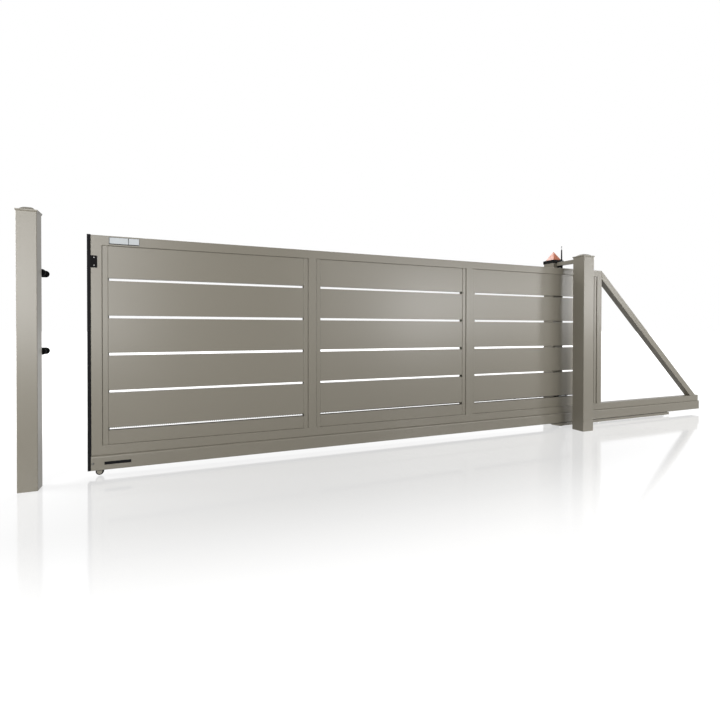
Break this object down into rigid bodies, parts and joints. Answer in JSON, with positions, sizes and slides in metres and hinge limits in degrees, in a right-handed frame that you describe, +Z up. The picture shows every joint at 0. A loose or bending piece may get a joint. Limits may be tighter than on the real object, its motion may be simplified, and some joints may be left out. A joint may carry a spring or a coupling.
{
  "type": "sliding driveway gate",
  "caption": "Cantilever sliding driveway gate: horizontal plank leaf on a track rail with a braced tail, guide, drive and catch posts, lamp and rack drive.",
  "frame": {"origin": "centre of the front guide post's foot, at ground level", "axes": "+X along the leaf, the way it opens; +Y away from the street; +Z up"},
  "size_m": [6.107, 0.478, 1.703],
  "materials": {
    "gate_paint": "fine satin powder coat, warm grey",
    "black_paint": "black satin powder coat",
    "black_plastic": "moulded black, faint grain",
    "edge_rubber": "smooth extruded rubber",
    "amber_lens": "clear orange moulding",
    "pale_plate": "bare pale plate",
    "roller_nylon": "turned nylon",
    "rack_nylon": "moulded nylon",
    "zinc_steel": "zinc plated"
  },
  "bodies": {
    "root": {"aerial": "black_plastic", "base_channel": "gate_paint", "base_feet": "zinc_steel", "carriage_rollers": "roller_nylon", "catch_post": "gate_paint", "catch_post_cap": "gate_paint", "crossbar": "gate_paint", "drive_flange": "black_paint", "drive_post": "gate_paint", "front_carriage": "zinc_steel", "front_guide_roller": "roller_nylon", "front_roller_arm": "gate_paint", "guide_post": "gate_paint", "guide_post_cap": "gate_paint", "lamp_base": "black_plastic", "lamp_lens": "amber_lens", "limit_sensor": "black_plastic", "lower_catch_fork": "black_plastic", "rear_carriage": "zinc_steel", "rear_guide_roller": "roller_nylon", "rear_roller_bracket": "black_paint", "upper_catch_fork": "black_plastic"},
    "leaf": {"track_rail": "gate_paint", "rail_tail_cap": "gate_paint", "rail_nose": "gate_paint", "bottom_rail": "gate_paint", "top_rail": "gate_paint", "leading_stile": "gate_paint", "mullion_1": "gate_paint", "mullion_2": "gate_paint", "trailing_stile": "gate_paint", "tail_strut": "gate_paint", "rack_carrier": "gate_paint", "drive_rack": "rack_nylon", "safety_edge": "edge_rubber", "latch_plate": "black_paint", "info_plate": "pale_plate", "name_plate": "black_plastic", "bay_1_planks": "gate_paint", "bay_1_channels": "gate_paint", "bay_2_planks": "gate_paint", "bay_2_channels": "gate_paint", "bay_3_planks": "gate_paint", "bay_3_channels": "gate_paint"},
    "nose_wheel": {"nose_wheel": "black_plastic"},
    "pinion": {"drive_pinion": "zinc_steel"}
  },
  "joints": [
    {"name": "leaf_slide", "type": "slide", "parent": "root", "child": "leaf", "axis": [1, 0, 0], "range_m": [-0.276, 3.68]},
    {"name": "nose_wheel_spin", "type": "hinge", "parent": "leaf", "child": "nose_wheel", "pos_m": [-3.826, 0.193, 0.0278], "axis": [0, 1, 0], "continuous": true},
    {"name": "pinion_spin", "type": "hinge", "parent": "root", "child": "pinion", "pos_m": [0, 0.24, 0.2455], "axis": [0, 1, 0], "continuous": true}
  ],
  "couplings": [
    {"joint": "pinion_spin", "follows": "leaf_slide", "rad_per_m": 27.778}
  ]
}
